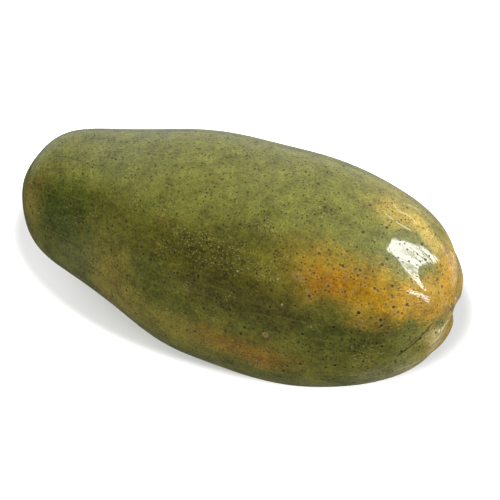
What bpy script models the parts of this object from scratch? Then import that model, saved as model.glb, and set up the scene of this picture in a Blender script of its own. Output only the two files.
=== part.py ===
"""A whole papaya, as picked, lying on its side on a surface.

The fruit is one solid. Its blossom end points to +X and its stem end to -X. It has five soft ribs,
a slight neck before the stem end, a hollow with the stub of the cut stalk, and a dimple with a
small nub where the flower was. It rests on a small flat spot under its weight.
"""

import math

import bmesh
import bpy
import numpy as np

# Overall size
FRUIT_LENGTH = 0.290
STEM_BLUNTNESS = 2.86
TIP_BLUNTNESS = 2.40

# Girth: the radius at stations along the fruit, from the stem end (0) to the blossom end (1).
# The roundness of the two ends is laid over it, so the first and last values are not reached.
GIRTH_STATIONS = (0.0, 0.12, 0.25, 0.40, 0.55, 0.70, 0.85, 1.0)
GIRTH_RADII = (0.0848, 0.0633, 0.0609, 0.0690, 0.0708, 0.0726, 0.0745, 0.0870)

# Bend: how far the core lies above, and to the side of, a straight line
BEND_STATIONS = (0.0, 0.25, 0.50, 0.75, 1.0)
BEND_HEIGHTS = (0.0163, 0.0073, 0.0, 0.0025, 0.0112)
SIDE_BEND = -0.0100

# Ribs: the angle of each crest round the core, from the -Y side, upwards
RIB_ANGLES = tuple(math.radians(angle) for angle in (107.8, 43.2, -37.0, -98.0, 177.8))
RIB_SHARPNESS = 6.0
RIB_HEIGHT = 0.060
STEM_RIB_GAIN = 0.020
STEM_RIB_REACH = 0.30

# Shoulders: how far the ribs push the rim of each end outwards along the fruit
STEM_SHOULDER = 0.0010
TIP_SHOULDER = 0.0018
SHOULDER_RADIUS = 0.037
SHOULDER_WIDTH = 0.018

# Stem end: a hollow with the low stub of the cut stalk
HOLLOW_DEPTH = 0.0045
HOLLOW_RADIUS = 0.015
STUB_HEIGHT = 0.0030
STUB_RADIUS = 0.0070
STUB_FLARE = 0.0030

# Blossom end: a dimple with a nub
DIMPLE_DEPTH = 0.0030
DIMPLE_RADIUS = 0.011
NUB_HEIGHT = 0.0016
NUB_RADIUS = 0.0040

# Resting on a surface
FLAT_SPOT_DEPTH = 0.0020
RIM_SNAP = 0.0002
SETTLING_STEPS = 60
SETTLING_TURN = 2.0

# Mesh
SEGMENTS = 72
RINGS = 48
RING_BUNCHING = 0.22

SKIN_COLOR = (0.155, 0.175, 0.038, 1.0)
SKIN_ROUGHNESS = 0.32


def clear_scene():
    for item in list(bpy.data.objects):
        bpy.data.objects.remove(item, do_unlink=True)


def smooth_curve(stations, values):
    """The cubic spline through the values, as a function of the place along the fruit."""
    stations = np.array(stations)
    values = np.array(values)
    gaps = np.diff(stations)
    slopes = np.diff(values) / gaps
    count = len(stations)
    rows = np.zeros((count, count))
    sides = np.zeros(count)
    for i in range(1, count - 1):
        rows[i, i - 1 : i + 2] = gaps[i - 1], 2 * (gaps[i - 1] + gaps[i]), gaps[i]
        sides[i] = 6 * (slopes[i] - slopes[i - 1])
    # The first two spans share one cubic, and so do the last two
    rows[0, :3] = gaps[1], -(gaps[0] + gaps[1]), gaps[0]
    rows[-1, -3:] = gaps[-1], -(gaps[-2] + gaps[-1]), gaps[-2]
    bends = np.linalg.solve(rows, sides)

    def value(place):
        i = np.clip(np.searchsorted(stations, place) - 1, 0, count - 2)
        past = place - stations[i]
        start = slopes[i] - gaps[i] * (2 * bends[i] + bends[i + 1]) / 6
        turn = (bends[i + 1] - bends[i]) / (6 * gaps[i])
        return values[i] + past * (start + past * (bends[i] / 2 + past * turn))

    return value


def ribs(around):
    """Height of the ribs at an angle round the core: about 0.2 on a crest, -0.2 between two."""
    crests = [np.exp(RIB_SHARPNESS * (np.cos(around - angle) - 1)) for angle in RIB_ANGLES]
    level = len(RIB_ANGLES) * math.exp(-RIB_SHARPNESS) * float(np.i0(RIB_SHARPNESS))
    return sum(crests) - level


def hill(distance, width):
    """A round hill, 1 at its middle, falling to nothing over about twice its width."""
    return np.exp(-((distance / width) ** 2))


def skin_points(along, around):
    """Points of the skin: along runs from -1 at the stem end to 1 at the blossom end."""
    share = (1 + along) / 2
    stem_half = along < 0
    bluntness = np.where(stem_half, STEM_BLUNTNESS, TIP_BLUNTNESS)
    closing = np.sqrt(np.clip(1 - np.abs(along) ** bluntness, 0, 1))
    girth = smooth_curve(GIRTH_STATIONS, GIRTH_RADII)(share) * closing

    relief = ribs(around)
    neck = np.clip(1 - share / STEM_RIB_REACH, 0, 1) ** 2
    radius = girth * (1 + (RIB_HEIGHT + STEM_RIB_GAIN * neck) * relief)

    rim = relief * hill(girth - SHOULDER_RADIUS, SHOULDER_WIDTH)
    stub = 1 / (1 + np.exp((radius - STUB_RADIUS) / (STUB_FLARE / 4)))
    inward = HOLLOW_DEPTH * hill(radius, HOLLOW_RADIUS) - STUB_HEIGHT * stub
    outward = NUB_HEIGHT * hill(radius, NUB_RADIUS) - DIMPLE_DEPTH * hill(radius, DIMPLE_RADIUS)
    shift = np.where(stem_half, inward - STEM_SHOULDER * rim, outward + TIP_SHOULDER * rim)

    x = along * FRUIT_LENGTH / 2 + shift
    y = SIDE_BEND * along**2 - radius * np.cos(around)
    z = smooth_curve(BEND_STATIONS, BEND_HEIGHTS)(share) + radius * np.sin(around)
    return np.stack([x, y, z], axis=1)


def centre_of_mass(points, triangles):
    a, b, c = (points[triangles[:, corner]] for corner in range(3))
    volumes = np.einsum("ij,ij->i", a, np.cross(b, c))
    return (volumes[:, None] * (a + b + c)).sum(axis=0) / (4 * volumes.sum())


def turned_about_y(points, angle):
    cos, sin = math.cos(angle), math.sin(angle)
    x = points[:, 0] * cos + points[:, 2] * sin
    z = points[:, 2] * cos - points[:, 0] * sin
    return np.stack([x, points[:, 1], z], axis=1)


def laid_down(points, triangles):
    """The fruit tipped along its length until its lowest spot is under its weight."""
    for _ in range(SETTLING_STEPS):
        depth = np.clip(points[:, 2].min() + FLAT_SPOT_DEPTH - points[:, 2], 0, None)
        contact = (depth * points[:, 0]).sum() / depth.sum()
        ahead = contact - centre_of_mass(points, triangles)[0]
        points = turned_about_y(points, -SETTLING_TURN * ahead)
    return points


def centred(points):
    """The points with the origin under the middle of the fruit, at the height of its flat spot."""
    floor = points[:, 2].min() + FLAT_SPOT_DEPTH
    middle = (points.min(axis=0) + points.max(axis=0)) / 2
    return points - np.array([middle[0], middle[1], floor])


def press_flat(shape):
    """Cuts away what is below the floor and closes the cut with one flat face."""
    parts = shape.verts[:] + shape.edges[:] + shape.faces[:]
    bmesh.ops.bisect_plane(
        shape, geom=parts, dist=RIM_SNAP, plane_co=(0, 0, 0), plane_no=(0, 0, 1), clear_inner=True
    )
    rim = [edge for edge in shape.edges if edge.is_boundary]
    for edge in rim:
        for vertex in edge.verts:
            vertex.co.z = 0.0
    spot = bmesh.ops.contextual_create(shape, geom=rim)["faces"]
    bmesh.ops.recalc_face_normals(shape, faces=shape.faces[:])
    for face in shape.faces:
        face.smooth = face not in spot


def skin_material():
    material = bpy.data.materials.new("papaya_skin")
    material.use_nodes = True
    shader = material.node_tree.nodes["Principled BSDF"]
    shader.inputs["Base Color"].default_value = SKIN_COLOR
    shader.inputs["Roughness"].default_value = SKIN_ROUGHNESS
    shader.inputs["Metallic"].default_value = 0.0
    material.diffuse_color = SKIN_COLOR
    return material


def papaya_fruit(collection):
    """The whole fruit: a sphere whose rings run from the stem end to the blossom end."""
    shape = bmesh.new()
    bmesh.ops.create_uvsphere(shape, u_segments=SEGMENTS, v_segments=RINGS, radius=1.0)
    sphere = np.array([vertex.co for vertex in shape.verts])
    triangles = np.array([[loop.vert.index for loop in loops] for loops in shape.calc_loop_triangles()])

    turn = np.arccos(np.clip(-sphere[:, 2], -1, 1))
    turn = turn - RING_BUNCHING * np.sin(2 * turn)
    around = np.arctan2(-sphere[:, 1], sphere[:, 0])
    points = skin_points(-np.cos(turn), around)
    points = centred(laid_down(points, triangles))

    for vertex, point in zip(shape.verts, points):
        vertex.co = point
    press_flat(shape)
    mesh = bpy.data.meshes.new("papaya")
    shape.to_mesh(mesh)
    shape.free()
    mesh.materials.append(skin_material())
    fruit = bpy.data.objects.new("papaya", mesh)
    collection.objects.link(fruit)


def main():
    clear_scene()
    collection = bpy.data.collections.new("Papaya")
    bpy.context.scene.collection.children.link(collection)
    papaya_fruit(collection)


main()
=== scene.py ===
"""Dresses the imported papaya: its finely modelled skin, the stub of its cut stalk, the scar of its
flower, and the studio it lies in. Everything is in metres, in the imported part's own frame."""

import math

import bmesh
import bpy
import numpy as np
from bpy.props import FloatProperty, FloatVectorProperty, IntProperty, PointerProperty
from mathutils import Matrix, Quaternion, Vector, noise


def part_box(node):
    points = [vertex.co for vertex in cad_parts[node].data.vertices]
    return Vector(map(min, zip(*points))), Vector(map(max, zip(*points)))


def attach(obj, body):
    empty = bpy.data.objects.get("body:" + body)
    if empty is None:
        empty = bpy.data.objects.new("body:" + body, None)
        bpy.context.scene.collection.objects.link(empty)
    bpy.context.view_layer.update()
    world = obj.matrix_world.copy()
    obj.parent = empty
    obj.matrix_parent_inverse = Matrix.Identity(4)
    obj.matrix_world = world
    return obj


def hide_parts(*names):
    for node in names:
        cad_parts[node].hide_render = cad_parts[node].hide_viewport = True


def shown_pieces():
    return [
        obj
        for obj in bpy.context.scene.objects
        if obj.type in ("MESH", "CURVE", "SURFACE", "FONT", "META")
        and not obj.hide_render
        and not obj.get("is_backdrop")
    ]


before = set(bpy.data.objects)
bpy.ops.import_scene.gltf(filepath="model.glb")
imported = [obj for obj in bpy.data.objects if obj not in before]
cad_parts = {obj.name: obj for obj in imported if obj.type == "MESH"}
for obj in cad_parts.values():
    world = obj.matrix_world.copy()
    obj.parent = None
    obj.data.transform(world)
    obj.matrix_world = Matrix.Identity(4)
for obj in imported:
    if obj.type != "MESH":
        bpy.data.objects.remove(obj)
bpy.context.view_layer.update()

bl_info = {
    "name": "Papaya",
    "version": (1, 0, 0),
    "blender": (4, 5, 0),
    "location": "3D View > Sidebar > Papaya",
    "description": "Makes a ripening papaya around its packed solid",
    "category": "Object",
}

FRUIT = "papaya"
LOW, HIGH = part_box(FRUIT)
MIDDLE = (LOW + HIGH) / 2
HALF = (HIGH - LOW) / 2

# Ribs: the angle of each crest round the core, from the -Y side, upwards
RIB_ANGLES = tuple(math.radians(angle) for angle in (107.8, 43.2, -37.0, -98.0, 177.8))


def colour(name, description, default):
    return FloatVectorProperty(
        name=name, description=description, default=default, subtype="COLOR", min=0, max=1
    )


def length(name, description, default):
    return FloatProperty(name=name, description=description, default=default, unit="LENGTH", min=0)


def turning(name, description, degrees):
    default = math.radians(degrees)
    return FloatProperty(name=name, description=description, default=default, subtype="ANGLE")


def share_of(name, description, default):
    return FloatProperty(name=name, description=description, default=default, subtype="FACTOR", min=0)


class PapayaSkinSettings(bpy.types.PropertyGroup):
    """Sizes and colours of the skin"""

    segments: IntProperty(name="Segments", description="Faces round the coarse cage", default=80, min=12)
    rings: IntProperty(name="Rings", description="Faces along the coarse cage", default=74, min=12)
    cage_size: share_of("Cage size", "Cage as a share of the fruit, before it is wrapped", 1.25)
    sway: length("Sway", "Depth of the broad unevenness of the skin", 0.00045)
    dent: length("Dent", "Depth of the small unevenness of the skin", 0.00004)
    flute: length("Flute", "Depth of the furrows between the ribs at the blossom end", 0.0020)
    crease: length("Crease", "Depth of the crease beside the blossom end", 0.0005)
    leaf_green: colour("Leaf green", "The greenest skin", (0.078, 0.094, 0.006))
    deep_green: colour("Deep green", "Darkest green, on the neck", (0.048, 0.068, 0.006))
    # Dark olive stands in for the shade on the front below the upper rib: painted shade
    painted_shade_olive: colour("Dark olive", "Brownish green of the front", (0.062, 0.056, 0.005))
    olive: colour("Olive", "Skin that has begun to turn", (0.142, 0.138, 0.014))
    # Lime laid over the upper side is partly the skin's paler green and partly painted light from above
    lime_and_top_light: colour("Lime", "Pale yellow green of the upper side", (0.153, 0.160, 0.028))
    # Pale green along the lower edge of the blossom end: partly the skin's paler green, partly painted light
    # from the floor beneath
    pale_green_bounce_light: colour("Pale green", "Pale lower side of the blossom end", (0.290, 0.280, 0.120))
    grey_green: colour("Grey green", "Dull green of the neck", (0.140, 0.150, 0.035))
    tan: colour("Tan", "Dull tan of the neck's underside", (0.250, 0.200, 0.024))
    amber: colour("Amber", "Ripe yellow", (0.500, 0.270, 0.010))
    orange: colour("Orange", "Ripest patches", (0.310, 0.122, 0.003))
    peach: colour("Peach", "Pinkish edge of the rib at the blossom end", (0.640, 0.400, 0.160))
    straw: colour("Straw", "Pale yellow of the ribs beside the blossom end", (0.450, 0.320, 0.060))
    brown: colour("Brown", "Brown bruise near the stem", (0.150, 0.120, 0.018))
    pore: colour("Pore", "Dark corky pores", (0.014, 0.016, 0.004))
    plum: colour("Plum", "Pores in ripe skin", (0.085, 0.030, 0.014))
    scratch: colour("Scratch", "Pale dry scratches", (0.620, 0.560, 0.340))
    russet: colour("Russet", "Fine tan cracks and flecks", (0.380, 0.300, 0.110))
    roughness: share_of("Roughness", "Roughness of the skin under its wax", 0.45)
    wax: share_of("Wax", "Strength of the clear wax", 0.50)
    wax_roughness: share_of("Wax roughness", "Roughness of the wax", 0.07)


class PapayaScarSettings(bpy.types.PropertyGroup):
    """Sizes and colours of the stalk stub and the blossom scar"""

    stub_radius: length("Stub radius", "Radius of the cut stalk", 0.0068)
    stub_height: length("Stub height", "Length of the stub with its foot in the skin", 0.0050)
    stub_proud: length("Stub rise", "How far the stub rises over the packed solid", 0.0008)
    blossom_radius: length("Blossom radius", "Radius of the scar at the blossom end", 0.0032)
    cork: colour("Cork", "Dry brown cork", (0.155, 0.098, 0.045))
    scar: colour("Scar", "Dried scar of the flower", (0.190, 0.150, 0.050))
    pith: colour("Pith", "Pale cut fibres of the stalk", (0.330, 0.280, 0.150))
    cork_roughness: share_of("Cork roughness", "Roughness of the cork", 0.8)


class PapayaStageSettings(bpy.types.PropertyGroup):
    """The studio: camera, lights and floor"""

    azimuth: turning("Azimuth", "Camera angle round the fruit", 28.899)
    elevation: turning("Elevation", "Camera angle above the floor", 36.400)
    distance: length("Distance", "From the camera to the fruit", 0.75)
    lens: FloatProperty(name="Lens", description="Focal length for a 36 mm sensor", default=86.158, min=1)
    aim_right: length("Aim right", "How far right of the frame's middle the camera aims", 0.00671)
    aim_up: length("Aim up", "How far above the frame's middle the camera aims", 0.00759)
    floor_size: length("Floor size", "Side of the floor", 6.0)


def settings(name):
    return getattr(bpy.context.scene, name)


# Furrows between the ribs: angle round the core and half-width in degrees, where each starts along
# the fruit, and its share of the full depth
FURROWS = (
    (67, 23, 0.35, 0.95),
    (106, 9, 0.55, 0.35),
    (24, 9, 0.70, 0.25),
    (-22, 8, 0.72, 0.25),
    (4, 24, 0.62, 0.70),
    (-70, 24, 0.50, 0.80),
    (-140, 30, 0.50, 1.00),
    (143, 28, 0.50, 1.00),
)
FURROW_FULL = 0.92
FURROW_END = 0.012

# Patches of colour, from the stem end on: colour, middle, half-sizes, softness, strength
PATCHES = (
    ("grey_green", (-0.0700, -0.0180, 0.1275), (0.030, 0.022, 0.010), 0.90, 0.80),
    ("brown", (-0.1202, -0.0426, 0.1034), (0.010, 0.010, 0.008), 0.50, 0.85),
    ("tan", (-0.1228, -0.0476, 0.0897), (0.009, 0.010, 0.010), 0.60, 0.85),
    ("deep_green", (-0.0934, -0.0483, 0.1021), (0.022, 0.018, 0.015), 0.55, 0.90),
    ("leaf_green", (-0.0700, -0.0470, 0.1120), (0.016, 0.012, 0.008), 0.60, 0.50),
    ("grey_green", (-0.0820, -0.0564, 0.0740), (0.020, 0.014, 0.014), 0.60, 1.00),
    ("deep_green", (-0.1000, -0.0545, 0.0870), (0.014, 0.013, 0.010), 0.60, 0.95),
    ("tan", (-0.0530, -0.0628, 0.0660), (0.018, 0.014, 0.024), 0.60, 0.90),
    ("tan", (-0.0151, -0.0690, 0.0540), (0.030, 0.014, 0.016), 0.60, 0.60),
    ("brown", (-0.0192, -0.0533, 0.1170), (0.008, 0.007, 0.005), 0.70, 0.60),
    # Dark olive patches along the front: painted shade below the upper rib
    ("painted_shade_olive", (-0.0350, -0.0560, 0.1050), (0.024, 0.012, 0.012), 0.80, 0.40),
    ("painted_shade_olive", (0.0050, -0.0600, 0.1080), (0.030, 0.014, 0.012), 0.80, 0.75),
    ("painted_shade_olive", (0.0350, -0.0640, 0.0980), (0.034, 0.014, 0.016), 0.80, 0.75),
    ("painted_shade_olive", (0.0700, -0.0650, 0.0930), (0.034, 0.018, 0.013), 0.80, 0.75),
    ("leaf_green", (0.1000, -0.0600, 0.0900), (0.026, 0.018, 0.014), 0.80, 0.75),
    ("deep_green", (0.0919, -0.0625, 0.0918), (0.016, 0.012, 0.010), 0.80, 0.50),
    # More dark olive painted shade on the front, below the upper rib
    ("painted_shade_olive", (0.1160, -0.0545, 0.0930), (0.015, 0.011, 0.010), 0.80, 0.85),
    ("painted_shade_olive", (0.0330, -0.0500, 0.1220), (0.022, 0.010, 0.008), 0.80, 0.60),
    ("painted_shade_olive", (0.0620, -0.0480, 0.1230), (0.012, 0.010, 0.007), 0.80, 0.45),
    ("tan", (0.0380, -0.0690, 0.0570), (0.034, 0.012, 0.008), 0.90, 0.35),
    ("orange", (0.0230, -0.0696, 0.0575), (0.014, 0.012, 0.008), 1.00, 0.38),
    ("orange", (0.0510, -0.0690, 0.0575), (0.018, 0.012, 0.008), 1.00, 0.65),
    ("lime_and_top_light", (0.1330, -0.0446, 0.0790), (0.016, 0.012, 0.013), 0.60, 0.80),
    ("tan", (0.1400, -0.0310, 0.0720), (0.008, 0.012, 0.014), 0.60, 0.80),
    ("straw", (0.1415, -0.0250, 0.0740), (0.006, 0.009, 0.011), 0.60, 0.85),
    ("scratch", (0.1422, -0.0261, 0.0770), (0.005, 0.008, 0.009), 0.70, 0.35),
    ("straw", (0.1360, 0.0060, 0.1190), (0.010, 0.010, 0.014), 0.80, 0.50),
    ("straw", (0.1020, 0.0130, 0.1320), (0.026, 0.012, 0.012), 0.80, 0.30),
    # Pale green patches at the lower edge of the blossom end: partly painted light from the floor beneath
    ("pale_green_bounce_light", (0.1310, -0.0400, 0.0610), (0.016, 0.012, 0.009), 0.70, 0.75),
    ("pale_green_bounce_light", (0.1180, -0.0460, 0.0520), (0.016, 0.012, 0.008), 0.80, 0.60),
    ("tan", (0.0860, -0.0570, 0.1110), (0.036, 0.018, 0.016), 0.90, 0.50),
    ("amber", (0.1140, -0.0520, 0.1030), (0.015, 0.012, 0.008), 0.90, 0.50),
    ("amber", (0.0740, -0.0480, 0.1220), (0.018, 0.014, 0.009), 0.90, 0.20),
    ("amber", (0.0980, -0.0510, 0.1160), (0.022, 0.013, 0.0095), 0.90, 0.50),
    ("orange", (0.0780, -0.0570, 0.1130), (0.013, 0.011, 0.008), 0.90, 0.72),
    ("orange", (0.0950, -0.0520, 0.1140), (0.018, 0.010, 0.0080), 0.85, 0.80),
    ("olive", (0.0670, -0.0600, 0.1110), (0.010, 0.010, 0.010), 0.90, 0.45),
    ("brown", (0.0900, -0.0600, 0.1040), (0.014, 0.010, 0.006), 0.90, 0.50),
    ("brown", (0.0680, -0.0600, 0.1100), (0.011, 0.010, 0.008), 0.90, 0.35),
    ("amber", (0.1130, -0.0480, 0.1110), (0.017, 0.010, 0.0075), 0.85, 0.72),
    ("amber", (0.1270, -0.0430, 0.1085), (0.013, 0.010, 0.0090), 0.80, 0.90),
    ("amber", (0.1371, -0.0310, 0.1030), (0.010, 0.012, 0.011), 0.60, 0.95),
    ("amber", (0.1415, -0.0130, 0.1010), (0.008, 0.012, 0.012), 0.50, 0.95),
    ("straw", (0.0940, -0.0060, 0.1372), (0.014, 0.008, 0.008), 0.90, 0.30),
    ("straw", (0.1040, -0.0060, 0.1350), (0.011, 0.0085, 0.007), 0.80, 0.72),
    ("straw", (0.1160, -0.0040, 0.1315), (0.010, 0.0060, 0.007), 0.55, 0.80),
    ("straw", (0.1250, -0.0062, 0.1265), (0.009, 0.0060, 0.008), 0.50, 0.80),
    ("straw", (0.1330, -0.0085, 0.1190), (0.008, 0.0065, 0.010), 0.50, 0.65),
    ("amber", (0.1384, -0.0091, 0.1123), (0.008, 0.008, 0.010), 0.50, 0.85),
    ("peach", (0.1392, -0.0040, 0.1105), (0.007, 0.005, 0.011), 0.70, 0.70),
)

# Clouds of russet flecks: middle and half-sizes
RUSSET = (
    ((-0.0054, -0.0551, 0.1158), (0.009, 0.008, 0.006)),
    ((-0.0229, -0.0482, 0.1217), (0.008, 0.007, 0.005)),
    ((0.0180, -0.0590, 0.1130), (0.030, 0.010, 0.014)),
    ((0.0475, -0.0608, 0.1106), (0.012, 0.008, 0.007)),
)

# The fine crack and the pale corky fold beside the blossom end
CREASE = (
    (0.1390, -0.0313, 0.0887),
    (0.1368, -0.0358, 0.0848),
    (0.1334, -0.0409, 0.0800),
    (0.1301, -0.0447, 0.0767),
    (0.1264, -0.0477, 0.0727),
)
CORKY_LINE = (
    (0.1424, -0.0048, 0.0897),
    (0.1432, -0.0114, 0.0835),
    (0.1430, -0.0248, 0.0819),
    (0.1423, -0.0278, 0.0773),
    (0.1395, -0.0335, 0.0754),
)

# Pale scratches on the upper side, and pale corky threads round the blossom end
SCRATCHES = (
    (
        (0.0996, -0.0010, 0.1366),
        (0.1039, -0.0038, 0.1357),
        (0.1105, -0.0035, 0.1337),
        (0.1156, -0.0054, 0.1319),
    ),
    (
        (0.0991, -0.0107, 0.1363),
        (0.1033, -0.0120, 0.1351),
        (0.1083, -0.0123, 0.1336),
        (0.1154, -0.0119, 0.1311),
    ),
    ((0.1033, 0.0049, 0.1350), (0.1081, 0.0083, 0.1325), (0.1131, 0.0068, 0.1310)),
    ((0.1385, -0.0290, 0.0660), (0.1354, -0.0355, 0.0634), (0.1306, -0.0412, 0.0620)),
    ((0.1342, -0.0367, 0.0622), (0.1298, -0.0418, 0.0613), (0.1248, -0.0453, 0.0590)),
    (
        (0.1249, -0.0054, 0.1270),
        (0.1299, -0.0052, 0.1232),
        (0.1348, -0.0059, 0.1179),
        (0.1393, -0.0026, 0.1083),
    ),
)

# A corky ring and three pale specks on the front
RING_MARK = (0.0557, -0.0697, 0.0751)
PALE_SPECKS = ((0.0340, -0.0612, 0.1065), (0.0585, -0.0601, 0.1095), (0.0640, -0.0660, 0.0975))

# Short dark dashes near the stem end
DASHES = (
    ((-0.1165, -0.0258, 0.1171), (-0.1066, -0.0253, 0.1191), (-0.0958, -0.0267, 0.1202)),
    ((-0.0840, -0.0219, 0.1240), (-0.0758, -0.0218, 0.1258), (-0.0692, -0.0228, 0.1269)),
    ((-0.0929, -0.0277, 0.1202), (-0.0843, -0.0281, 0.1216), (-0.0768, -0.0281, 0.1232)),
)


# Streaks along the fruit: how fine and how long they are, and the level from which they show
THREADS = {"Fineness": 34.0, "Length": 7.0, "Level": 0.55}
STRIAE = {"Fineness": 44.0, "Length": 8.0, "Level": 0.50}
DARK_STREAKS = {"Fineness": 60.0, "Length": 22.0, "Level": 0.66}
COMB = {"Fineness": 52.0, "Length": 12.0, "Level": 0.465}
STREAK_EDGE = 0.12

# Specks: cells to the metre, radius in cells, and share of the cells that hold one
DOTS = {"Scale": 440.0, "Radius": 0.37, "Share": 0.85}
SPOTS = {"Scale": 215.0, "Radius": 0.31, "Share": 0.80}
PITS = {"Scale": 155.0, "Radius": 0.21, "Share": 0.70}
ISLANDS = {"Scale": 120.0, "Radius": 0.55, "Share": 0.60}
SMALLEST_SPECK = 0.35
SPECK_CORE = 0.45
RING_REACH = 1.9

# Half-widths of the drawn lines, and the share of the width that is solid
CRACK_WIDTH = 0.0007
CORKY_WIDTH = 0.0009
SCRATCH_WIDTH = 0.0006
DASH_WIDTH = 0.0008
LINE_CORE = 0.3

# Where along the fruit, and how far up its side, a marking sets in and is whole
TIP = (0.66, 0.98)
RIPE_END = (0.68, 1.0)
COMBED_END = (0.64, 0.76)
BOLD_HALF = (0.0, 0.6)
# How far up its side the painted light from above sets in and is whole
TOP_LIGHT_SIDE = (0.54, 0.80)
UPPER_SIDE = (0.35, 0.75)


# Shader nodes


def put(tree, kind, values=None, **options):
    """A node with its options set, and its inputs linked or given a value."""
    node = tree.nodes.new(kind)
    for name, value in options.items():
        setattr(node, name, value)
    for name, value in (values or {}).items():
        socket = node.inputs[name]
        if isinstance(value, bpy.types.NodeSocket):
            tree.links.new(value, socket)
        else:
            socket.default_value = value
    return node


def put_grey(tree, value):
    """A grey of the value's brightness."""
    return put(tree, "ShaderNodeCombineColor", {"Red": value, "Green": value, "Blue": value}).outputs["Color"]


def calc(tree, operation, first, second=0.0, third=0.0, clamp=False):
    values = {0: first, 1: second, 2: third}
    return put(tree, "ShaderNodeMath", values, operation=operation, use_clamp=clamp).outputs[0]


def vector_calc(tree, operation, first, second, output=0):
    return put(tree, "ShaderNodeVectorMath", {0: first, 1: second}, operation=operation).outputs[output]


def ease(tree, value, start, end):
    """Runs from 0 to 1 as the value goes from start to end, with soft ends."""
    values = {"Value": value, "From Min": start, "From Max": end}
    return put(tree, "ShaderNodeMapRange", values, interpolation_type="SMOOTHSTEP").outputs["Result"]


def blend(tree, share, under, over, mode="MIX"):
    node = put(tree, "ShaderNodeMix", data_type="RGBA", blend_type=mode, clamp_factor=True)
    for index, value in ((0, share), (6, under), (7, over)):
        if isinstance(value, bpy.types.NodeSocket):
            tree.links.new(value, node.inputs[index])
        elif index:
            node.inputs[index].default_value = (*value, 1.0)
        else:
            node.inputs[index].default_value = value
    return node.outputs[2]


def paint(tree, shade, mask, colour, strength):
    """Lays a colour over the shade where the mask is white."""
    return blend(tree, calc(tree, "MULTIPLY", mask, strength), shade, colour)


def darken(tree, shade, pattern, contrast, strength):
    """Makes the shade darker and lighter with a grey pattern, whose middle leaves it as it is."""
    grey = put_grey(tree, calc(tree, "MULTIPLY_ADD", pattern, contrast, 1.0 - contrast / 2))
    return blend(tree, strength, shade, grey, mode="MULTIPLY")


def cloud(tree, place, scale, detail=2.0, roughness=0.5):
    """Random soft greys, so many to the metre."""
    values = {"Vector": place, "Scale": scale, "Detail": detail, "Roughness": roughness}
    return put(tree, "ShaderNodeTexNoise", values).outputs["Fac"]


def new_group(name, inputs, outputs):
    """An empty shader group, with its input and output nodes."""
    group = bpy.data.node_groups.new(name, "ShaderNodeTree")
    for label, kind, default in inputs:
        socket = group.interface.new_socket(label, in_out="INPUT", socket_type=kind)
        socket.default_value = default
    for label, kind in outputs:
        group.interface.new_socket(label, in_out="OUTPUT", socket_type=kind)
    return group, group.nodes.new("NodeGroupInput").outputs, group.nodes.new("NodeGroupOutput").inputs


def use(tree, group, **values):
    """Places a group. A name's underscores stand for spaces."""
    node = tree.nodes.new("ShaderNodeGroup")
    node.node_tree = group
    for name, value in values.items():
        socket = node.inputs[name.replace("_", " ")]
        if isinstance(value, bpy.types.NodeSocket):
            tree.links.new(value, socket)
        else:
            socket.default_value = value
    return node.outputs


def wander_group():
    """Pushes points about, so that what is drawn on them gets a ragged, grown edge."""
    inputs = (
        ("Point", "NodeSocketVector", (0, 0, 0)),
        ("Scale", "NodeSocketFloat", 40.0),
        ("Amount", "NodeSocketFloat", 0.01),
    )
    group, given, result = new_group("Wander", inputs, (("Point", "NodeSocketVector"),))
    drift = {"Vector": given["Point"], "Scale": given["Scale"], "Detail": 3.0}
    drift = put(group, "ShaderNodeTexNoise", drift).outputs["Color"]
    centred = vector_calc(group, "SUBTRACT", drift, (0.5, 0.5, 0.5))
    push = {0: centred, "Scale": given["Amount"]}
    push = put(group, "ShaderNodeVectorMath", push, operation="SCALE").outputs[0]
    group.links.new(vector_calc(group, "ADD", given["Point"], push), result["Point"])
    return group


def patch_group():
    """A soft egg-shaped patch round a centre."""
    inputs = (
        ("Point", "NodeSocketVector", (0, 0, 0)),
        ("Centre", "NodeSocketVector", (0, 0, 0)),
        ("Reach", "NodeSocketVector", (0.02, 0.02, 0.02)),
        ("Softness", "NodeSocketFloat", 0.5),
        ("Ragged", "NodeSocketFloat", 0.0),
    )
    group, given, result = new_group("Patch", inputs, (("Mask", "NodeSocketFloat"),))
    away = vector_calc(group, "SUBTRACT", given["Point"], given["Centre"])
    scaled = vector_calc(group, "DIVIDE", away, given["Reach"])
    distance = vector_calc(group, "LENGTH", scaled, (0, 0, 0), output="Value")
    distance = calc(group, "ADD", distance, given["Ragged"])
    outer = calc(group, "ADD", 1.0, given["Softness"])
    inner = calc(group, "SUBTRACT", 1.0, given["Softness"])
    group.links.new(ease(group, distance, outer, inner), result["Mask"])
    return group


def specks_group():
    """Round specks of uneven size, one at most in each cell of a loose lattice."""
    inputs = (
        ("Point", "NodeSocketVector", (0, 0, 0)),
        ("Scale", "NodeSocketFloat", 350.0),
        ("Radius", "NodeSocketFloat", 0.25),
        ("Share", "NodeSocketFloat", 0.6),
    )
    outputs = (("Mask", "NodeSocketFloat"), ("Ring", "NodeSocketFloat"))
    group, given, result = new_group("Specks", inputs, outputs)
    cells = put(group, "ShaderNodeTexVoronoi", {"Vector": given["Point"], "Scale": given["Scale"]})
    chance = put(group, "ShaderNodeSeparateColor", {0: cells.outputs["Color"]}).outputs
    kept = calc(group, "LESS_THAN", chance["Red"], given["Share"])
    size = calc(group, "MULTIPLY_ADD", chance["Green"], 1.0 - SMALLEST_SPECK, SMALLEST_SPECK)
    radius = calc(group, "MULTIPLY", given["Radius"], size)
    distance = cells.outputs["Distance"]
    spot = ease(group, distance, radius, calc(group, "MULTIPLY", radius, SPECK_CORE))
    halo = ease(group, distance, calc(group, "MULTIPLY", radius, RING_REACH), radius)
    ring = calc(group, "SUBTRACT", halo, spot, clamp=True)
    group.links.new(calc(group, "MULTIPLY", spot, kept), result["Mask"])
    group.links.new(calc(group, "MULTIPLY", ring, kept), result["Ring"])
    return group


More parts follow.
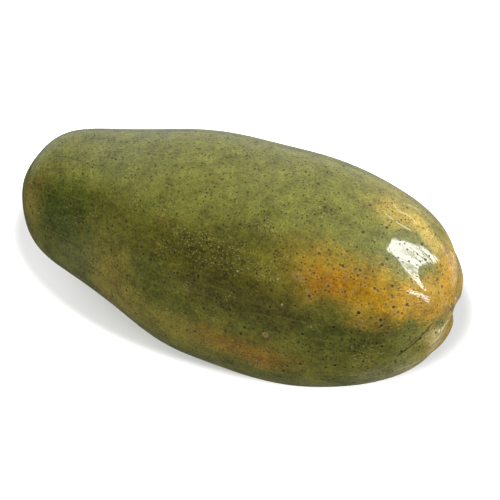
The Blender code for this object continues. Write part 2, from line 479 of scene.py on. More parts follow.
def segment_group():
    """A fine straight line between two points, with soft sides."""
    inputs = (
        ("Point", "NodeSocketVector", (0, 0, 0)),
        ("Start", "NodeSocketVector", (0, 0, 0)),
        ("End", "NodeSocketVector", (0, 0, 0.01)),
        ("Width", "NodeSocketFloat", 0.001),
    )
    group, given, result = new_group("Segment", inputs, (("Mask", "NodeSocketFloat"),))
    run = vector_calc(group, "SUBTRACT", given["End"], given["Start"])
    away = vector_calc(group, "SUBTRACT", given["Point"], given["Start"])
    reach = vector_calc(group, "DOT_PRODUCT", run, run, output="Value")
    share = vector_calc(group, "DOT_PRODUCT", away, run, output="Value")
    share = calc(group, "DIVIDE", share, reach, clamp=True)
    nearest = put(group, "ShaderNodeVectorMath", {0: run, "Scale": share}, operation="SCALE").outputs[0]
    distance = vector_calc(group, "DISTANCE", away, nearest, output="Value")
    inner = calc(group, "MULTIPLY", given["Width"], LINE_CORE)
    group.links.new(ease(group, distance, given["Width"], inner), result["Mask"])
    return group


def line_mask(tree, groups, place, piece, lines, width):
    """The lines through the given points, laid onto the piece, as one mask."""
    mask = 0.0
    for line in lines:
        line = [piece.closest_point_on_mesh(point)[1] for point in line]
        for start, end in zip(line[:-1], line[1:]):
            part = use(tree, groups["segment"], Point=place, Start=start, End=end, Width=width)["Mask"]
            mask = calc(tree, "MAXIMUM", mask, part)
    return mask


def streaks_group():
    """Fine streaks that run from one end of the fruit to the other and meet at its ends."""
    inputs = (
        ("Meridian", "NodeSocketVector", (0, 0, 0)),
        ("Fineness", "NodeSocketFloat", 30.0),
        ("Length", "NodeSocketFloat", 5.0),
        ("Level", "NodeSocketFloat", 0.6),
    )
    group, given, result = new_group("Streaks", inputs, (("Mask", "NodeSocketFloat"),))
    parts = put(group, "ShaderNodeSeparateXYZ", {0: given["Meridian"]}).outputs
    values = {
        0: calc(group, "MULTIPLY", parts["X"], given["Fineness"]),
        1: calc(group, "MULTIPLY", parts["Y"], given["Fineness"]),
        2: calc(group, "MULTIPLY", parts["Z"], given["Length"]),
    }
    stretched = put(group, "ShaderNodeCombineXYZ", values).outputs[0]
    top = calc(group, "ADD", given["Level"], STREAK_EDGE)
    group.links.new(ease(group, cloud(group, stretched, scale=1.0), given["Level"], top), result["Mask"])
    return group


def new_material(name):
    material = bpy.data.materials.new(name)
    material.use_nodes = True
    tree = material.node_tree
    shader = tree.nodes["Principled BSDF"]
    return material, tree, shader


def tint(look, name):
    return tuple(getattr(look, name))


def ripening(tree, meridian, clouds):
    """1 on the ribs beside the blossom end, where ripening starts."""
    crest = 0.0
    for angle in RIB_ANGLES:
        facing = vector_calc(
            tree, "DOT_PRODUCT", meridian, (math.cos(angle), math.sin(angle), 0), output="Value"
        )
        crest = calc(tree, "MAXIMUM", crest, facing)
    near = ease(tree, put(tree, "ShaderNodeSeparateXYZ", {0: meridian}).outputs["Z"], *RIPE_END)
    ragged = calc(tree, "MULTIPLY_ADD", clouds, 0.30, -0.15)
    reach = calc(tree, "MULTIPLY_ADD", near, -0.17, 1.0)
    turned = ease(tree, calc(tree, "ADD", crest, ragged), reach, calc(tree, "ADD", reach, 0.05))
    return calc(tree, "MULTIPLY", turned, near)


def skin_colour(tree, look, groups, place, meridian):
    """Colour of the skin without its pores, and how ripe it is. The colour holds painted light from above on
    the upper side, painted shade on the front below the upper rib, and painted light from the floor along the
    lower edge of the blossom end.
    """
    clouds = cloud(tree, place, scale=34.0, detail=4.0, roughness=0.6)
    clumps = cloud(tree, place, scale=130.0, detail=3.0, roughness=0.65)
    broad = ease(tree, clouds, 0.38, 0.62)
    small = ease(tree, clumps, 0.36, 0.66)
    shade = blend(tree, broad, tint(look, "leaf_green"), tint(look, "olive"))
    shade = paint(tree, shade, small, tint(look, "olive"), strength=0.45)
    # Painted light: the upper side is made paler lime, as if lit from above
    top_light = ease(tree, put(tree, "ShaderNodeSeparateXYZ", {0: meridian}).outputs["Y"], *TOP_LIGHT_SIDE)
    shade = paint(tree, shade, top_light, tint(look, "lime_and_top_light"), strength=0.75)
    ripe = ripening(tree, meridian, clouds)
    shade = paint(tree, shade, ripe, tint(look, "amber"), strength=0.55)

    moved = use(tree, groups["wander"], Point=place, Scale=60.0, Amount=0.016)["Point"]
    moved = use(tree, groups["wander"], Point=moved, Scale=240.0, Amount=0.006)["Point"]
    stipple = cloud(tree, place, scale=520.0, roughness=0.7)
    ragged = calc(tree, "MULTIPLY_ADD", stipple, 1.2, -0.6)
    ragged = calc(tree, "MULTIPLY_ADD", clumps, 0.9, calc(tree, "SUBTRACT", ragged, 0.45))
    for name, centre, reach, softness, strength in PATCHES:
        shape = {"Point": moved, "Centre": centre, "Reach": reach, "Softness": softness, "Ragged": ragged}
        mask = calc(tree, "MULTIPLY", use(tree, groups["patch"], **shape)["Mask"], strength)
        shade = blend(tree, mask, shade, tint(look, name))
        if name in ("orange", "amber", "straw"):
            ripe = calc(tree, "MAXIMUM", ripe, mask)
    mottle = cloud(tree, place, scale=95.0, detail=5.0, roughness=0.68)
    return darken(tree, shade, mottle, contrast=3.2, strength=0.65), ripe


def russet_flecks(tree, groups, place, veil):
    """Fine tan flecks, thick in a few clouds."""
    thick = ease(tree, veil, 0.50, 0.68)
    for centre, reach in RUSSET:
        spot = use(tree, groups["patch"], Point=place, Centre=centre, Reach=reach)["Mask"]
        thick = calc(tree, "MAXIMUM", thick, spot)
    level = calc(tree, "MULTIPLY_ADD", thick, -0.14, 0.72)
    flecks = cloud(tree, place, scale=1050.0, roughness=0.6)
    return ease(tree, flecks, level, calc(tree, "ADD", level, 0.05))


def single_marks(tree, look, groups, place, piece, shade):
    """The corky ring and the pale specks, each laid onto the piece."""
    marks = [
        (RING_MARK, 0.0019, 0.2, "peach", 0.35),
        (RING_MARK, 0.0010, 0.3, "brown", 0.60),
    ]
    marks += [(speck, 0.0006, 0.3, "scratch", 0.50) for speck in PALE_SPECKS]
    for point, radius, softness, name, strength in marks:
        centre = piece.closest_point_on_mesh(point)[1]
        shape = {"Point": place, "Centre": centre, "Reach": (radius,) * 3, "Softness": softness}
        mask = use(tree, groups["patch"], **shape)["Mask"]
        shade = paint(tree, shade, mask, tint(look, name), strength)
    return shade


def skin_material(groups, piece):
    look = settings("papaya_skin")
    material, tree, shader = new_material("papaya_skin")
    place = put(tree, "ShaderNodeTexCoord").outputs["Object"]
    meridian = put(tree, "ShaderNodeAttribute", attribute_name="meridian").outputs["Vector"]
    parts = put(tree, "ShaderNodeSeparateXYZ", {0: meridian}).outputs
    along = parts["Z"]
    shade, ripe = skin_colour(tree, look, groups, place, meridian)

    # Fine mottling, and threads along the fruit
    fuzz = cloud(tree, place, scale=820.0, detail=3.0, roughness=0.7)
    shade = darken(tree, shade, fuzz, contrast=4.0, strength=0.60)
    grit = cloud(tree, place, scale=380.0, detail=3.0, roughness=0.7)
    shade = paint(tree, shade, ease(tree, grit, 0.50, 0.66), tint(look, "tan"), strength=0.24)
    threads = use(tree, groups["streaks"], Meridian=meridian, **THREADS)["Mask"]
    shade = paint(tree, shade, threads, tint(look, "tan"), strength=0.22)
    striae = use(tree, groups["streaks"], Meridian=meridian, **STRIAE)["Mask"]
    striae = calc(tree, "MULTIPLY", striae, ease(tree, along, *TIP))
    shade = paint(tree, shade, striae, tint(look, "straw"), strength=0.30)
    dark_streaks = use(tree, groups["streaks"], Meridian=meridian, **DARK_STREAKS)["Mask"]
    shade = paint(tree, shade, dark_streaks, tint(look, "pore"), strength=0.45)
    veil = cloud(tree, place, scale=60.0, detail=3.0)
    fleck = russet_flecks(tree, groups, place, veil)
    shade = paint(tree, shade, fleck, tint(look, "russet"), strength=0.65)

    # Pores: many small ones, and some large ones, with a tan ring where the skin is ripe
    islands = use(tree, groups["specks"], Point=place, **ISLANDS)["Mask"]
    pits = use(tree, groups["specks"], Point=place, **PITS)
    for mask, name, strength in (
        (islands, "olive", 0.35),
        (pits["Ring"], "russet", 0.55),
        (pits["Mask"], "plum", 0.80),
    ):
        shade = paint(tree, shade, calc(tree, "MULTIPLY", mask, ripe), tint(look, name), strength)
    dots = use(tree, groups["specks"], Point=place, **DOTS)["Mask"]
    spots = use(tree, groups["specks"], Point=place, **SPOTS)
    dark = blend(tree, ripe, tint(look, "pore"), tint(look, "plum"))
    ringed = calc(tree, "MULTIPLY_ADD", ripe, 0.35, 0.05)
    shade = paint(tree, shade, spots["Ring"], tint(look, "russet"), ringed)
    sparse = calc(tree, "MULTIPLY_ADD", ease(tree, veil, 0.40, 0.60), 0.30, 0.68)
    shade = paint(tree, shade, dots, dark, sparse)
    bold = calc(tree, "MULTIPLY_ADD", ease(tree, along, *BOLD_HALF), 0.30, 0.70)
    bold = calc(tree, "MULTIPLY_ADD", ease(tree, parts["Y"], *UPPER_SIDE), -0.25, bold)
    shade = paint(tree, shade, spots["Mask"], dark, bold)
    shade = single_marks(tree, look, groups, place, piece, shade)

    # The fine crack, and pale scratches and corky threads
    shaky = use(tree, groups["wander"], Point=place, Scale=260.0, Amount=0.0012)["Point"]
    crack = line_mask(tree, groups, shaky, piece, (CREASE,), CRACK_WIDTH)
    cork = line_mask(tree, groups, shaky, piece, (CORKY_LINE,), CORKY_WIDTH)
    scratch = line_mask(tree, groups, shaky, piece, SCRATCHES, SCRATCH_WIDTH)
    broken = ease(tree, grit, 0.36, 0.54)
    worn = calc(tree, "MULTIPLY", calc(tree, "MULTIPLY", scratch, 0.70), broken)
    pale = calc(tree, "MAXIMUM", calc(tree, "MULTIPLY", cork, 0.70), worn)
    dash = line_mask(tree, groups, shaky, piece, DASHES, DASH_WIDTH)
    shade = paint(tree, shade, calc(tree, "MULTIPLY", dash, broken), tint(look, "pore"), strength=0.55)
    shade = blend(tree, pale, shade, tint(look, "scratch"))
    shade = paint(tree, shade, crack, tint(look, "pore"), strength=0.80)
    tree.links.new(shade, shader.inputs["Base Color"])

    # Relief finer than the mesh: each part with its height
    pored = calc(tree, "MAXIMUM", dots, spots["Mask"])
    comb = use(tree, groups["streaks"], Meridian=meridian, **COMB)["Mask"]
    comb = calc(tree, "MULTIPLY", comb, ease(tree, along, *COMBED_END))
    height = 0.0
    for part, rise in (
        (pored, -0.80),
        (fleck, 0.35),
        (fuzz, 0.60),
        (threads, 0.50),
        (comb, -1.00),
        (crack, -1.50),
        (pale, 0.80),
    ):
        height = calc(tree, "MULTIPLY_ADD", part, rise, height)
    bump = put(tree, "ShaderNodeBump", {"Strength": 0.45, "Distance": 0.0003, "Height": height})
    tree.links.new(bump.outputs["Normal"], shader.inputs["Normal"])

    # Wax, which pores, flecks and the streaks beside the blossom end break up
    dull = calc(tree, "MAXIMUM", fleck, pored)
    tree.links.new(calc(tree, "MULTIPLY_ADD", dull, 0.25, look.roughness), shader.inputs["Roughness"])
    waxy = calc(tree, "MULTIPLY_ADD", dull, -1.0, 1.0, clamp=True)
    waxy = calc(tree, "MULTIPLY", waxy, calc(tree, "MULTIPLY_ADD", comb, -0.82, 1.0))
    tree.links.new(calc(tree, "MULTIPLY", waxy, look.wax), shader.inputs["Coat Weight"])
    shader.inputs["Coat Roughness"].default_value = look.wax_roughness
    shader.inputs["Specular IOR Level"].default_value = 0.14
    return material


def cork_material(groups):
    look = settings("papaya_scars")
    material, tree, shader = new_material("papaya_cork")
    place = put(tree, "ShaderNodeTexCoord").outputs["Object"]
    stem, blossom = pole_places()
    moved = use(tree, groups["wander"], Point=place, Scale=400.0, Amount=0.0015)["Point"]
    shade = tint(look, "cork")
    for point, centre, radius, softness, name in (
        (moved, stem, 0.0045, 0.25, "pith"),
        (moved, stem, 0.0013, 0.40, "cork"),
        (place, blossom, 0.0100, 0.50, "scar"),
    ):
        shape = {"Point": point, "Centre": centre, "Reach": (radius,) * 3, "Softness": softness}
        shade = blend(tree, use(tree, groups["patch"], **shape)["Mask"], shade, tint(look, name))
    fibres = cloud(tree, place, scale=900.0, detail=4.0, roughness=0.7)
    rough = put_grey(tree, calc(tree, "MULTIPLY_ADD", fibres, 2.6, -0.4))
    tree.links.new(blend(tree, 0.75, shade, rough, mode="MULTIPLY"), shader.inputs["Base Color"])
    bump = put(tree, "ShaderNodeBump", {"Strength": 0.8, "Distance": 0.0004, "Height": fibres})
    tree.links.new(bump.outputs["Normal"], shader.inputs["Normal"])
    shader.inputs["Roughness"].default_value = look.cork_roughness
    shader.inputs["Specular IOR Level"].default_value = 0.2
    return material


# Shapes

# The cage is wrapped onto the solid and smoothed this many times
WRAPS = 2
SMOOTHING = {"factor": 0.5, "iterations": 3}
SKIN_LEVELS = 2
STUB_LEVELS = 3

# Unevenness of the skin: features to the metre, and seed
SWAYS = (28.0, 3.0)
DENTS = (150.0, 7.0)
CREASE_WIDTH = 0.0018
FOLD_WIDTH = 0.0020
STILL_HEIGHT = 0.012

# The cut stalk and the dried flower: thickness and rise of each inset of the outer face, where the
# flower's thickness is a share of its radius. Roughness: depth, and features to the metre
STUB_SIDES = 40
STUB_RINGS = ((0.0005, 0.0004), (0.0006, 0.0), (0.0004, -0.0007), (0.0018, 0.0002), (0.0018, -0.0004))
STUB_ROUGHNESS = ((0.00035, 420.0), (0.00012, 1500.0))
SCAR_SIDES = 32
SCAR_HEIGHT = 0.0030
SCAR_SINK = 0.0022
SCAR_RINGS = ((0.25, 0.0003), (0.20, -0.0005), (0.20, 0.0012), (0.12, 0.0004))
SCAR_ROUGHNESS = ((0.00045, 500.0),)
ROUGHNESS_SEED = 5.0
POLE_REACH = 0.003
CAP_DEPTH = 0.0004
CAP_FACING = 0.95


def pole_places():
    """The stem pole and the blossom pole: the two corners of the solid where most edges meet."""
    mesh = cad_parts[FRUIT].data
    places = np.array([vertex.co for vertex in mesh.vertices])
    corners, joined = np.unique(np.round(places, 6), axis=0, return_inverse=True)
    edges = np.array([edge.vertices for edge in mesh.edges])
    edges = np.unique(np.sort(joined.reshape(-1)[edges], axis=1), axis=0)
    busiest = np.argsort(np.bincount(edges.ravel()))[-2:]
    return sorted((Vector(corners[i]) for i in busiest), key=lambda corner: corner.x)


def pole_axis(pole):
    """The way the skin faces at a pole."""
    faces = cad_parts[FRUIT].data.polygons
    near = [face.normal * face.area for face in faces if (face.center - pole).length < POLE_REACH]
    if not near:
        raise RuntimeError("The packed fruit has no faces at its pole")
    return sum(near, Vector()).normalized()


def apply_modifier(piece, kind, **options):
    modifier = piece.modifiers.new(kind.title(), kind)
    for name, value in options.items():
        setattr(modifier, name, value)
    bpy.ops.object.modifier_apply(modifier=modifier.name)


def read_points(mesh):
    points = np.empty(len(mesh.vertices) * 3)
    mesh.vertices.foreach_get("co", points)
    return points.reshape(-1, 3)


def read_normals(mesh):
    normals = np.empty(len(mesh.vertices) * 3)
    mesh.vertex_normals.foreach_get("vector", normals)
    return normals.reshape(-1, 3)


def write_points(mesh, points):
    mesh.vertices.foreach_set("co", points.ravel())
    mesh.update()


def wrapped_cage(look):
    """A sphere round the fruit with its poles at the fruit's ends, wrapped onto the solid."""
    bpy.ops.object.select_all(action="DESELECT")
    bpy.ops.mesh.primitive_uv_sphere_add(
        segments=look.segments, ring_count=look.rings, radius=1, rotation=(0, math.pi / 2, 0)
    )
    bpy.ops.object.transform_apply(location=True, rotation=True, scale=True)
    piece = bpy.context.object
    mesh = piece.data
    sphere = read_points(mesh)
    along = sphere[:, 0]
    ring = np.hypot(sphere[:, 1], sphere[:, 2])
    clear = np.maximum(ring, 1e-6)
    on_axis = ring < 1e-4
    meridian = np.stack([-sphere[:, 1] / clear, sphere[:, 2] / clear, along], axis=1)
    meridian[on_axis, :2] = 0
    layer = mesh.attributes.new("meridian", "FLOAT_VECTOR", "POINT")
    layer.data.foreach_set("vector", meridian.ravel())

    stem, blossom = (np.array(pole) for pole in pole_places())
    pole = np.where(along[:, None] < 0, stem, blossom)
    core = np.array(MIDDLE) + (pole - np.array(MIDDLE)) * (along**2)[:, None]
    core[:, 0] = MIDDLE.x
    write_points(mesh, core + sphere * np.array(HALF) * look.cage_size)
    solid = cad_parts[FRUIT]
    for _ in range(WRAPS):
        apply_modifier(piece, "SHRINKWRAP", target=solid, wrap_method="NEAREST_SURFACEPOINT")
        apply_modifier(piece, "SMOOTH", **SMOOTHING)
    apply_modifier(piece, "SUBSURF", levels=SKIN_LEVELS, render_levels=SKIN_LEVELS)
    return piece


def unevenness(points, scale, seed):
    """Soft random heights at points, about -1 to 1."""
    shift = Vector((seed, seed * 0.37, -seed * 0.71))
    return np.array([noise.noise(Vector(point) * scale + shift) for point in points])


def furrows(mesh):
    """How deep each point lies in a furrow between two ribs, near the blossom end."""
    meridian = np.empty(len(mesh.vertices) * 3)
    mesh.attributes["meridian"].data.foreach_get("vector", meridian)
    cos, sin, along = meridian.reshape(-1, 3).T
    around = np.arctan2(sin, cos)
    depth = np.zeros(len(along))
    for angle, width, start, share in FURROWS:
        off = np.abs((around - math.radians(angle) + math.pi) % (2 * math.pi) - math.pi)
        across = np.clip(1 - (off / math.radians(width)) ** 2, 0, 1)
        near = np.clip((along - start) / (FURROW_FULL - start), 0, 1)
        depth += share * across**2 * near**2 * (3 - 2 * near)
    return depth * np.clip((1 - along) / FURROW_END, 0, 1)


def along_line(points, line, width):
    """1 on a line through the given points, falling to 0 over about its width."""
    line = np.array(line)
    nearest = np.full(len(points), 1.0)
    for start, end in zip(line[:-1], line[1:]):
        run = end - start
        share = np.clip((points - start) @ run / (run @ run), 0, 1)
        away = np.linalg.norm(points - (start + share[:, None] * run), axis=1)
        nearest = np.minimum(nearest, away)
    return np.exp(-((nearest / width) ** 2))


def finish_piece(piece, name, material):
    if not np.isfinite(read_points(piece.data)).all():
        raise RuntimeError(f"{name} has points that lie nowhere")
    piece.name = name
    piece.data.name = name
    piece.data.materials.clear()
    piece.data.materials.append(material)
    piece.data.shade_smooth()
    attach(piece, "root")


class PAPAYA_OT_skin(bpy.types.Operator):
    """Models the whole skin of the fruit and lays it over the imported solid"""

    bl_idname = "papaya.skin"
    bl_label = "Skin"

    def execute(self, context):
        look = settings("papaya_skin")
        piece = wrapped_cage(look)
        points = read_points(piece.data)
        normals = read_normals(piece.data)
        height = look.sway * unevenness(points, *SWAYS) + look.dent * unevenness(points, *DENTS)
        height -= look.flute * furrows(piece.data)
        height -= look.crease * along_line(points, CREASE, CREASE_WIDTH)
        height += look.crease * along_line(points, CORKY_LINE, FOLD_WIDTH)
        lift = np.clip(points[:, 2] / STILL_HEIGHT, 0, 1)
        points += normals * (height * lift)[:, None]
        points[:, 2] = np.maximum(points[:, 2], 0)
        write_points(piece.data, points)
        finish_piece(piece, "papaya_skin", skin_material(SHARED, piece))
        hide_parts(FRUIT)
        return {"FINISHED"}


def select_cap(piece, axis):
    """Selects, in edit mode, the faces that look along the axis and nothing else."""
    bpy.ops.mesh.select_mode(type="FACE")
    bpy.ops.mesh.select_all(action="DESELECT")
    mesh = bmesh.from_edit_mesh(piece.data)
    reach = max(face.calc_center_median().dot(axis) for face in mesh.faces)
    for face in mesh.faces:
        outer = face.calc_center_median().dot(axis) > reach - CAP_DEPTH
        face.select_set(outer and face.normal.dot(axis) > CAP_FACING)
    if not any(face.select for face in mesh.faces):
        raise RuntimeError("No face looks along the axis")
    bmesh.update_edit_mesh(piece.data)


def shaped_plug(sides, radius, height, middle, axis, rings, roughness):
    """A short cylinder along the axis, its outer face shaped ring by ring, then rounded and roughened."""
    bpy.ops.object.select_all(action="DESELECT")
    turn = axis.to_track_quat("Z", "Y").to_euler()
    bpy.ops.mesh.primitive_cylinder_add(
        vertices=sides, radius=radius, depth=height, location=middle, rotation=turn
    )
    bpy.ops.object.transform_apply(location=True, rotation=True, scale=True)
    piece = bpy.context.object
    bpy.ops.object.mode_set(mode="EDIT")
    select_cap(piece, axis)
    for thickness, rise in rings:
        bpy.ops.mesh.inset(thickness=thickness, depth=rise)
    bpy.ops.mesh.poke()
    bpy.ops.object.mode_set(mode="OBJECT")
    apply_modifier(piece, "SUBSURF", levels=STUB_LEVELS, render_levels=STUB_LEVELS)
    for depth, scale in roughness:
        points = read_points(piece.data)
        uneven = depth * unevenness(points, scale, ROUGHNESS_SEED)
        write_points(piece.data, points + read_normals(piece.data) * uneven[:, None])
    return piece


class PAPAYA_OT_stub(bpy.types.Operator):
    """Models the stub of the cut stalk in the hollow of the stem end"""

    bl_idname = "papaya.stub"
    bl_label = "Stalk stub"

    def execute(self, context):
        look = settings("papaya_scars")
        stem = pole_places()[0]
        axis = pole_axis(stem)
        radius, height = look.stub_radius, look.stub_height
        middle = stem + axis * (look.stub_proud - height / 2)
        piece = shaped_plug(STUB_SIDES, radius, height, middle, axis, STUB_RINGS, STUB_ROUGHNESS)
        finish_piece(piece, "stalk_stub", SHARED["cork"])
        return {"FINISHED"}


class PAPAYA_OT_scar(bpy.types.Operator):
    """Models the dried scar of the flower in the dimple of the blossom end"""

    bl_idname = "papaya.scar"
    bl_label = "Blossom scar"

    def execute(self, context):
        look = settings("papaya_scars")
        blossom = pole_places()[1]
        axis = pole_axis(blossom)
        radius = look.blossom_radius
        middle = blossom - axis * SCAR_SINK
        rings = [(radius * share, rise) for share, rise in SCAR_RINGS]
        piece = shaped_plug(SCAR_SIDES, radius, SCAR_HEIGHT, middle, axis, rings, SCAR_ROUGHNESS)
        finish_piece(piece, "blossom_scar", SHARED["cork"])
        return {"FINISHED"}


# The studio

# Lamps: name, what each lights, how (all its light, only its soft light, or only its shine),
# direction from the fruit, distance, width and height, power, and roll in degrees
LAMPS = (
    ("overhead", "fruit", "soft", (-0.05, -0.02, 1.0), 1.0, (0.45, 0.45), 4.6, 0.0),
    ("tall_window", "fruit", "soft", (0.62, 0.20, 0.73), 0.8, (0.50, 0.62), 4.0, 0.0),
    ("window_glint", "fruit", "shine", (0.702, 0.162, 0.693), 0.8, (0.132, 0.691), 10.5, -4.6),
    ("side_glint", "fruit", "shine", (0.959, -0.193, 0.206), 0.8, (0.108, 0.531), 5.2, 40.3),
    ("front_fill", "fruit", "soft", (-0.30, -0.85, 0.05), 1.4, (1.2, 0.9), 1.5, 0.0),
    ("left_fill", "fruit", "soft", (-0.85, -0.50, 0.10), 1.2, (0.8, 0.8), 2.6, 0.0),
    ("right_fill", "fruit", "soft", (0.85, -0.50, 0.05), 1.0, (0.7, 0.7), 4.0, 0.0),
    ("floor_left", "floor", "all", (-0.694, -0.583, 0.423), 1.2, (0.70, 0.50), 7.5, 0.0),
    ("floor_front", "floor", "all", (0.069, -0.785, 0.616), 1.2, (0.90, 0.60), 8.6, 0.0),
    ("floor_right", "floor", "all", (0.730, -0.372, 0.574), 1.2, (0.90, 0.60), 12.0, 0.0),
)

# Greys of the floor and of its glow: to the camera, to soft light, and in the fruit's shine, where
# the floor beyond the fruit is brighter
FLOOR_SEEN = (0.80, 0.80, 0.80)
FLOOR_SOFT = (0.20, 0.20, 0.20)
FLOOR_SHINE = (0.06, 0.06, 0.06)
GLOW_SOFT = (0.50, 0.50, 0.50)
GLOW_NEAR = (0.05, 0.05, 0.05)
GLOW_BEYOND = (0.40, 0.40, 0.40)
BEYOND = (0.35, 0.94, 0.0)
BEYOND_REACH = (-0.05, 0.20)

# The egg-shaped part of the floor round the fruit that shows its shade. It glows to the camera outside
SHADE_MIDDLE = (-0.045, 0.070, 0.0)
SHADE_REACH = (0.186, 0.118, 1.0)
SHADE_EDGE = (0.90, 1.04)

# Brightness of the walls behind the fruit and of the ceiling: in soft light, and what is added to
# it in the fruit's shine
WALLS, WALLS_SHINE = 0.20, 0.70
WALLS_LEAN = -0.4
WALLS_EDGE = (-0.1, 0.95)
CEILING, CEILING_SHINE = 0.60, -0.35
CEILING_EDGE = (0.35, 1.0)
DIMMEST = 0.05

AIM_HEIGHT = 0.06
SENSOR_WIDTH = 36.0
NEAREST_SEEN = 0.01


class PAPAYA_OT_stage(bpy.types.Operator):
    """Sets the floor, the lights and the camera"""

    bl_idname = "papaya.stage"
    bl_label = "Stage"

    def execute(self, context):
        stage = settings("papaya_stage")
        paper = floor(stage)
        world_light()
        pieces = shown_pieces()
        if not pieces:
            raise RuntimeError("The fruit has to be made before its stage")
        lit = {"fruit": collected("lit_fruit", pieces), "floor": collected("lit_floor", [paper])}
        for name, lights, light, direction, distance, size, power, roll in LAMPS:
            lamp = soft_box(name, direction, distance, size, power, math.radians(roll))
            lamp.light_linking.receiver_collection = lit[lights]
            lamp.visible_glossy = light != "soft"
            lamp.visible_diffuse = light != "shine"
        camera(stage)
        view = context.scene.view_settings
        view.view_transform = "Standard"
        view.look = "None"
        return {"FINISHED"}


def collected(name, items):
    collection = bpy.data.collections.new(name)
    for item in items:
        collection.objects.link(item)
    return collection


def floor(stage):
    """The floor, whose glow hides its far parts from the camera and keeps it out of the shine."""
    bpy.ops.object.select_all(action="DESELECT")
    bpy.ops.mesh.primitive_plane_add(size=stage.floor_size)
    plane = bpy.context.object
    plane.name = "floor"
    material, tree, shader = new_material("floor_paper")
    path = put(tree, "ShaderNodeLightPath").outputs
    bounced = blend(tree, path["Is Glossy Ray"], FLOOR_SOFT, FLOOR_SHINE)
    tree.links.new(blend(tree, path["Is Camera Ray"], bounced, FLOOR_SEEN), shader.inputs["Base Color"])
    place = put(tree, "ShaderNodeTexCoord").outputs["Object"]
    beyond = vector_calc(tree, "DOT_PRODUCT", place, BEYOND, output="Value")
    mirrored = blend(tree, ease(tree, beyond, *BEYOND_REACH), GLOW_NEAR, GLOW_BEYOND)
    glow = blend(tree, path["Is Glossy Ray"], GLOW_SOFT, mirrored)
    scaled = vector_calc(tree, "DIVIDE", vector_calc(tree, "SUBTRACT", place, SHADE_MIDDLE), SHADE_REACH)
    far = ease(tree, vector_calc(tree, "LENGTH", scaled, (0, 0, 0), output="Value"), *SHADE_EDGE)
    seen = blend(tree, far, (0.0, 0.0, 0.0), (1.0, 1.0, 1.0))
    tree.links.new(blend(tree, path["Is Camera Ray"], glow, seen), shader.inputs["Emission Color"])
    shader.inputs["Emission Strength"].default_value = 1.0
    shader.inputs["Roughness"].default_value = 0.9
    shader.inputs["Specular IOR Level"].default_value = 0.1
    plane.data.materials.append(material)
    plane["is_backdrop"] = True
    return plane


def world_light():
    """A white room to the camera, with a brighter back wall and ceiling for the fruit."""
    world = bpy.data.worlds.new("studio")
    world.use_nodes = True
    tree = world.node_tree
    background = tree.nodes["Background"]
    direction = put(tree, "ShaderNodeTexCoord").outputs["Generated"]
    parts = put(tree, "ShaderNodeSeparateXYZ", {0: direction}).outputs
    path = put(tree, "ShaderNodeLightPath").outputs
    behind = calc(tree, "MULTIPLY_ADD", parts["X"], WALLS_LEAN, parts["Y"])
    behind = ease(tree, behind, *WALLS_EDGE)
    above = ease(tree, parts["Z"], *CEILING_EDGE)
    walls = calc(tree, "MULTIPLY_ADD", path["Is Glossy Ray"], WALLS_SHINE, WALLS)
    ceiling = calc(tree, "MULTIPLY_ADD", path["Is Glossy Ray"], CEILING_SHINE, CEILING)
    level = calc(tree, "ADD", calc(tree, "MULTIPLY", behind, walls), calc(tree, "MULTIPLY", above, ceiling))
    strength = calc(tree, "MAXIMUM", calc(tree, "ADD", level, DIMMEST), path["Is Camera Ray"])
    tree.links.new(strength, background.inputs["Strength"])
    background.inputs["Color"].default_value = (1.0, 1.0, 1.0, 1.0)
    bpy.context.scene.world = world


def soft_box(name, direction, distance, size, power, roll):
    """A rectangular lamp that faces the middle of the fruit."""
    direction = Vector(direction).normalized()
    lamp = bpy.data.lights.new(name, "AREA")
    lamp.shape = "RECTANGLE"
    lamp.size, lamp.size_y = size
    lamp.energy = power
    holder = bpy.data.objects.new(name, lamp)
    bpy.context.scene.collection.objects.link(holder)
    holder.location = MIDDLE + direction * distance
    turn = direction.to_track_quat("Z", "Y") @ Quaternion((0, 0, 1), roll)
    holder.rotation_euler = turn.to_euler()
    return holder


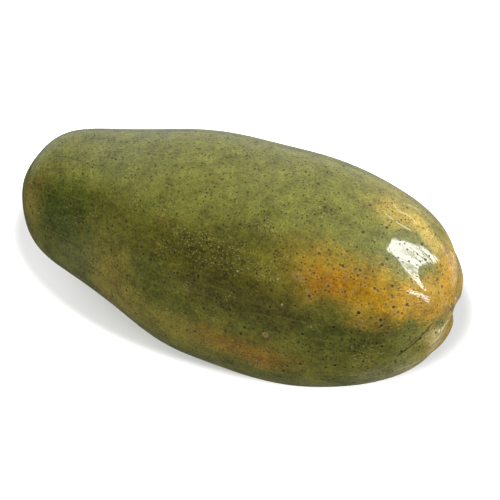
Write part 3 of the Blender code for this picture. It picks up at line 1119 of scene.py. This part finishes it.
def camera(stage):
    across, rise = stage.azimuth, stage.elevation
    level = math.cos(rise)
    back = Vector((math.sin(across) * level, -math.cos(across) * level, math.sin(rise)))
    right = Vector((0, 0, 1)).cross(back).normalized()
    up = back.cross(right)
    aim = Vector((0, 0, AIM_HEIGHT)) + right * stage.aim_right + up * stage.aim_up
    lens = bpy.data.cameras.new("camera")
    lens.lens = stage.lens
    lens.sensor_width = SENSOR_WIDTH
    lens.clip_start = NEAREST_SEEN
    holder = bpy.data.objects.new("camera", lens)
    bpy.context.scene.collection.objects.link(holder)
    turn = Matrix((right, up, back)).transposed().to_4x4()
    holder.matrix_world = Matrix.Translation(aim + back * stage.distance) @ turn
    bpy.context.scene.camera = holder


class PAPAYA_PT_panel(bpy.types.Panel):
    """Lists the steps that make the papaya"""

    bl_label = "Papaya"
    bl_idname = "PAPAYA_PT_panel"
    bl_space_type = "VIEW_3D"
    bl_region_type = "UI"
    bl_category = "Papaya"

    def draw(self, context):
        for step in STEPS:
            self.layout.operator(step.bl_idname)


STEPS = (PAPAYA_OT_skin, PAPAYA_OT_stub, PAPAYA_OT_scar, PAPAYA_OT_stage)
SETTINGS = (
    ("papaya_skin", PapayaSkinSettings),
    ("papaya_scars", PapayaScarSettings),
    ("papaya_stage", PapayaStageSettings),
)
# Shader groups and the material that more than one piece uses
SHARED = {}


def register():
    for name, kind in SETTINGS:
        bpy.utils.register_class(kind)
        setattr(bpy.types.Scene, name, PointerProperty(type=kind))
    for kind in (*STEPS, PAPAYA_PT_panel):
        bpy.utils.register_class(kind)


def unregister():
    for kind in reversed((*STEPS, PAPAYA_PT_panel)):
        bpy.utils.unregister_class(kind)
    for name, kind in reversed(SETTINGS):
        delattr(bpy.types.Scene, name)
        bpy.utils.unregister_class(kind)


def main():
    register()
    SHARED.update(wander=wander_group(), patch=patch_group(), specks=specks_group())
    SHARED.update(streaks=streaks_group(), segment=segment_group())
    SHARED["cork"] = cork_material(SHARED)
    bpy.ops.papaya.skin()
    bpy.ops.papaya.stub()
    bpy.ops.papaya.scar()
    bpy.ops.papaya.stage()


if __name__ == "__main__":
    main()
